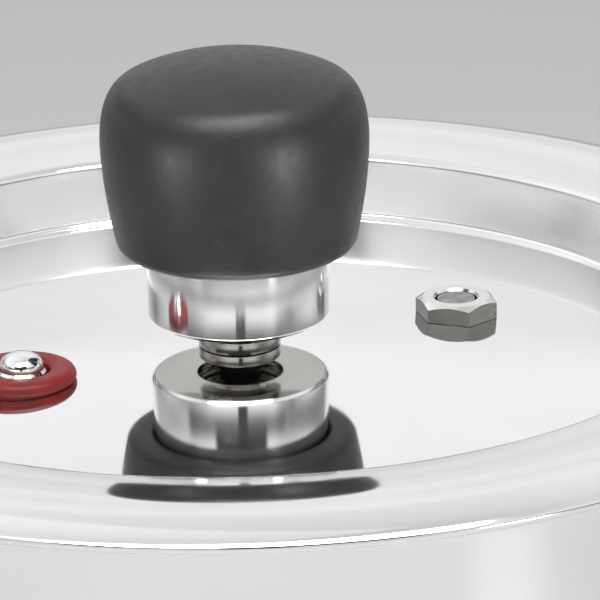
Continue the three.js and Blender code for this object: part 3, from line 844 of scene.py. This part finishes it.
grip(
    "lid_handle",
    eased_start(102.4, LID_GRIP_Z, 14.5, 7.6)
    + [
        (108, LID_GRIP_Z, 14.9, 7.9), (114, LID_GRIP_Z, 15, 8), (132, LID_GRIP_Z + 0.6, 13.4, 7.6),
        (158, LID_GRIP_Z + 1.6, 12, 7), (186, LID_GRIP_Z + 1.8, 12.6, 7.1),
        (208, LID_GRIP_Z + 1.4, 13.8, 7.4), (221, LID_GRIP_Z + 1.1, 13.5, 7.1),
        (227.5, LID_GRIP_Z + 1, 12, 6.2), (230.8, LID_GRIP_Z + 1, 9.6, 4.9),
        (232.2, LID_GRIP_Z + 1, 6.6, 3.2), (232.5, LID_GRIP_Z + 1, 3, 1.4),
    ],
    [(x, 4.1, LID_GRIP_Z + 3.9, LID_GRIP_Z + 16) for x in (110, 121)],
)
grip(
    "pot_handle",
    eased_start(102.5, HANDLE_Z, 14.3, 8.6)
    + [
        (106, HANDLE_Z, 14.7, 8.8), (112, HANDLE_Z, 15, 8.9), (132, HANDLE_Z - 0.8, 13.2, 8.4),
        (158, HANDLE_Z - 1.8, 12, 7.8), (186, HANDLE_Z - 1.6, 12.6, 8), (208, HANDLE_Z - 1.2, 13.8, 8.2),
        (220, HANDLE_Z - 1, 13.5, 7.9), (226.5, HANDLE_Z - 1, 12, 6.9), (229.8, HANDLE_Z - 1, 9.6, 5.4),
        (231.2, HANDLE_Z - 1, 6.6, 3.6), (231.5, HANDLE_Z - 1, 3, 1.5),
    ],
    [(113, 4.3, HANDLE_Z - 18, HANDLE_Z - 5.1)],
    POT_TURN,
)
grip(
    "helper_handle",
    [
        (95.2, HANDLE_Z, 19, 5.6), (95.7, HANDLE_Z, 21.6, 6.8), (97.4, HANDLE_Z, 24, 7.5),
        (104, HANDLE_Z, 28, 7.8), (112, HANDLE_Z - 0.4, 30, 7.4), (118, HANDLE_Z - 0.8, 28.4, 6.7),
        (122.4, HANDLE_Z - 1, 24.4, 5.3), (124.8, HANDLE_Z - 1, 18, 3.6), (125.4, HANDLE_Z - 1, 11, 2),
    ],
    [(106, 4.3, HANDLE_Z - 18, HANDLE_Z - 4.1)],
    POT_TURN + math.pi,
    2.8,
)


def make_ferrule():
    """A steel collar between the pot's bracket and its grip."""
    low, high = 94.9, 102.2
    outer = [(low, -0.9), (low + 0.2, -0.35), (low + 0.7, 0)]
    outer += [(high - 0.7, 0), (high - 0.2, -0.35), (high, -0.9)]
    rings = [oval(x, HANDLE_Z, 14 + d, 8.6 + d) for x, d in outer]
    rings += [oval(x, HANDLE_Z, 12.9, 7.5) for x in (high, low)]
    obj = link("pot_handle_ferrule_fine", outward(loft("ferrule", rings, closed=True)))
    turn_about_z(obj, POT_TURN)
    place(obj, "pot_handle_ferrule", satin_steel, "satin_steel")


make_ferrule()


# ---- Brackets on the pot's wall, and the lid handle's strap ----
def bracket(node, half_span, half_height, reach, turn):
    """A curved plate on the wall with rounded corners, and the tongue that enters the grip."""
    inner, outer = POT_R + GAP, POT_R + GAP + 1.8
    half_width = inner * math.sin(math.radians(half_span))
    low, high = HANDLE_Z - half_height, HANDLE_Z + half_height
    ring = [[inner, low - 2], [outer, low - 2], [outer, high + 2], [inner, high + 2]]
    plate = turned(node + "_fine", ring, 512)
    combine(plate, rounded_bar("window", 60, 110, half_width, half_height, HANDLE_Z, 4), "INTERSECT")
    combine(plate, rounded_bar("tongue", inner + 0.6, reach, 9, 1.1, HANDLE_Z, 0.5), "UNION")
    bevelled(plate, 0.35)
    turn_about_z(plate, turn)
    place(plate, node, satin_steel, "satin_steel")


bracket("pot_handle_bracket", 11, 12, 124, POT_TURN)
bracket("helper_bracket", 10, 8, 113, POT_TURN + math.pi)


def make_strap():
    """A strip that follows the rim, turns down its edge and runs out into the grip."""
    sheet = 1.5
    rim = bend(RIM_START, *RIM_CROWN, 24)
    rim += bend(RIM_CROWN[1], *RIM_EDGE, 12)
    rim = [p for p in rim if p[0] > RECESS_R + 4.6]
    middle = offset(rim, -(GAP + 0.1 + sheet / 2))
    flat_z = TONGUE_LOW + 0.15 + sheet / 2
    corner = [middle[-1][0], flat_z]
    start = [middle[-1][0], flat_z + 2.2]
    line = middle + [start] + bend(start, corner, [corner[0] + 2.4, flat_z], 8) + [[128, flat_z]]
    hug_until = len(middle) + 1  # the strip follows the round rim so far, then straightens
    columns = 24
    half = 12
    points, faces = [], []
    for i, (r, z) in enumerate(line):
        hug = max(0.0, min(1.0, 1 - (i - hug_until) / 8))
        width = half * min(1.0, 0.8 + 0.2 * i / 4) - 2 * (1 - hug)
        for k in range(columns + 1):
            y = width * (2 * k / columns - 1)
            x = hug * math.sqrt(r * r - y * y) + (1 - hug) * r
            points.append((x, y, z))
    for i in range(len(line) - 1):
        for k in range(columns):
            a = i * (columns + 1) + k
            faces.append([a, a + 1, a + columns + 2, a + columns + 1])
    obj = link("lid_handle_strap_fine", mesh_from("strap", points, faces))
    step = obj.modifiers.new("sheet", "SOLIDIFY")
    step.thickness = sheet * MM
    step.offset = 0
    step.use_even_offset = True
    baked(obj)
    outward(obj.data)
    bevelled(obj, 0.35, 50)
    place(obj, "lid_handle_strap", satin_steel, "satin_steel")


make_strap()


# ---- Floor, lights and surroundings ----
def make_floor():
    mesh = bpy.data.meshes.new("floor")
    half = 6
    corners = [(-half, -half, 0), (half, -half, 0), (half, half, 0), (-half, half, 0)]
    mesh.from_pydata(corners, [], [(0, 1, 2, 3)])
    floor = bpy.data.objects.new("floor", mesh)
    bpy.context.scene.collection.objects.link(floor)
    look = Look("pale floor", (0.5, 0.5, 0.5), 0.6)
    look.tint(look.noise(3, 3), (0.49, 0.49, 0.49), (0.51, 0.51, 0.51))
    mesh.materials.append(look.material)


def from_pot(turn, out, height):
    """A point `out` metres from the pot's axis, `turn` degrees anticlockwise from the camera."""
    angle = CAMERA_AZIMUTH - math.pi / 2 + math.radians(turn)
    return math.cos(angle) * out, math.sin(angle) * out, height


def area_light(name, position, aim, size, power, spread=180):
    data = bpy.data.lights.new(name, "AREA")
    data.shape = "RECTANGLE"
    data.size, data.size_y = size
    data.energy = power
    data.spread = math.radians(spread)
    light = bpy.data.objects.new(name, data)
    light.location = position
    light.rotation_euler = (Vector(aim) - Vector(position)).to_track_quat("-Z", "Y").to_euler()
    bpy.context.scene.collection.objects.link(light)


# The surroundings, as pairs of place and brightness, or of place and share for the names that end in
# BY_HEIGHT. Heights are sines of elevation. Directions round the horizon are in degrees anticlockwise from
# the camera, seen from above. The cyclorama dims everything by height. Low white cards with a slit between
# them stand round the cooker, a band of the room over them is dark, and its middle is dark higher up too.
CYCLORAMA = (
    (-1.0, 0.6), (-0.02, 0.6), (0.05, 0.7), (0.16, 0.85), (0.26, 0.95), (0.38, 0.97), (0.5, 0.95),
    (0.66, 1.0), (0.85, 0.8), (1.0, 0.6),
)
CARDS = (
    (-180, 0.95), (-150, 0.5), (-132, 0.2), (-117, 0.5), (-104, 0.75), (-92, 0.6), (-79, 0.38), (-63, 0.5),
    (-52, 0.7), (-42, 1.0), (-30, 1.3), (-4, 1.3), (-3, 0.02), (8, 0.02), (9, 1.1), (30, 1.2), (43, 1.15),
    (52, 0.66), (60, 0.42), (69, 0.3), (78, 0.55), (90, 0.8), (104, 0.92), (116, 0.7), (135, 0.3), (150, 0.6),
    (180, 0.95),
)
ROOM = (
    (-180, 1.0), (-150, 0.92), (-140, 0.55), (-100, 0.4), (-76, 0.55), (-68, 0.04), (56, 0.04), (62, 0.2),
    (110, 0.16), (140, 0.3), (152, 0.92), (180, 1.0),
)
CARDS_BY_HEIGHT = ((0.12, 1.0), (0.19, 0.0))
ROOM_BY_HEIGHT = ((0.32, 0.0), (0.36, 1.0), (0.46, 1.0), (0.485, 0.0))
MIDDLE = ((-37, 0.0), (-33, 1.0), (33, 1.0), (37, 0.0))
MIDDLE_BY_HEIGHT = ((0.32, 0.0), (0.36, 1.0), (0.68, 1.0), (0.78, 0.0))
CEILING_BY_HEIGHT = ((0.4, 0.0), (0.56, 1.0))
OVER_CARDS, DARK, WHITE = (1.1, 1.1, 1.1, 1), (0.05, 0.05, 0.05, 1), (1, 1, 1, 1)


def fill_ramp(ramp, stops):
    """Sets the stops of a colour ramp to pairs of place and grey value."""
    while len(ramp.elements) > 1:
        ramp.elements.remove(ramp.elements[0])
    for i, (place_at, value) in enumerate(stops):
        element = ramp.elements[0] if i == 0 else ramp.elements.new(place_at)
        element.position = place_at
        element.color = (value, value, value, 1)


def make_world():
    world = bpy.data.worlds.new("studio")
    bpy.context.scene.world = world
    world.use_nodes = True
    tree = world.node_tree
    add, wire = tree.nodes.new, tree.links.new
    direction = add("ShaderNodeTexCoord").outputs["Generated"]
    parts = add("ShaderNodeSeparateXYZ")
    wire(direction, parts.inputs[0])
    height = add("ShaderNodeMapRange")
    height.inputs["From Min"].default_value = -1
    wire(parts.outputs["Z"], height.inputs["Value"])
    # The radial gradient is 0.5 along +X and grows anticlockwise; turned, 0.5 is towards the camera.
    turned_to = add("ShaderNodeMapping")
    turned_to.vector_type = "POINT"
    turned_to.inputs["Rotation"].default_value = (0, 0, math.pi / 2 - CAMERA_AZIMUTH)
    wire(direction, turned_to.inputs["Vector"])
    around = add("ShaderNodeTexGradient")
    around.gradient_type = "RADIAL"
    wire(turned_to.outputs["Vector"], around.inputs["Vector"])

    def ramp(source, stops):
        node = add("ShaderNodeValToRGB")
        fill_ramp(node.color_ramp, stops)
        wire(source, node.inputs["Fac"])
        return node.outputs["Color"]

    def mix(factor, a, b, blend="MIX"):
        node = add("ShaderNodeMix")
        node.data_type = "RGBA"
        node.blend_type = blend
        for value, socket in ((factor, "Factor"), (a, "A"), (b, "B")):
            if isinstance(value, (int, float, tuple)):
                node.inputs[socket].default_value = value
            else:
                wire(value, node.inputs[socket])
        return node.outputs["Result"]

    by_height = lambda stops: ramp(height.outputs["Result"], [((z + 1) / 2, v) for z, v in stops])
    by_side = lambda stops: ramp(around.outputs["Fac"], [(0.5 + a / 360, v) for a, v in stops])
    cards = mix(by_height(CARDS_BY_HEIGHT), by_side(CARDS), OVER_CARDS)
    facing = mix(by_height(CEILING_BY_HEIGHT), cards, WHITE)
    facing = mix(by_height(ROOM_BY_HEIGHT), facing, by_side(ROOM))
    middle = mix(1.0, by_side(MIDDLE), by_height(MIDDLE_BY_HEIGHT), "MULTIPLY")
    facing = mix(middle, facing, DARK)
    light = mix(1.0, facing, by_height(CYCLORAMA), "MULTIPLY")
    wire(light, tree.nodes["Background"].inputs["Color"])
    tree.nodes["Background"].inputs["Strength"].default_value = 1.0


make_floor()
make_world()
area_light("overhead softbox", (-0.5, 0.7, 1.9), (0, 0, 0.1), (1.8, 1.8), 2)
area_light("front softbox", from_pot(0, 0.36, 0.8), from_pot(0, 0.36, 0), (0.8, 0.5), 8)
area_light("left strip", from_pot(-50, 0.5, 0.075), (0, 0, 0.13), (0.12, 0.12), 0.065, 60)
area_light("right strip", from_pot(43, 0.5, 0.075), (0, 0, 0.13), (0.09, 0.12), 0.1, 60)
bpy.context.scene.view_settings.view_transform = "Standard"
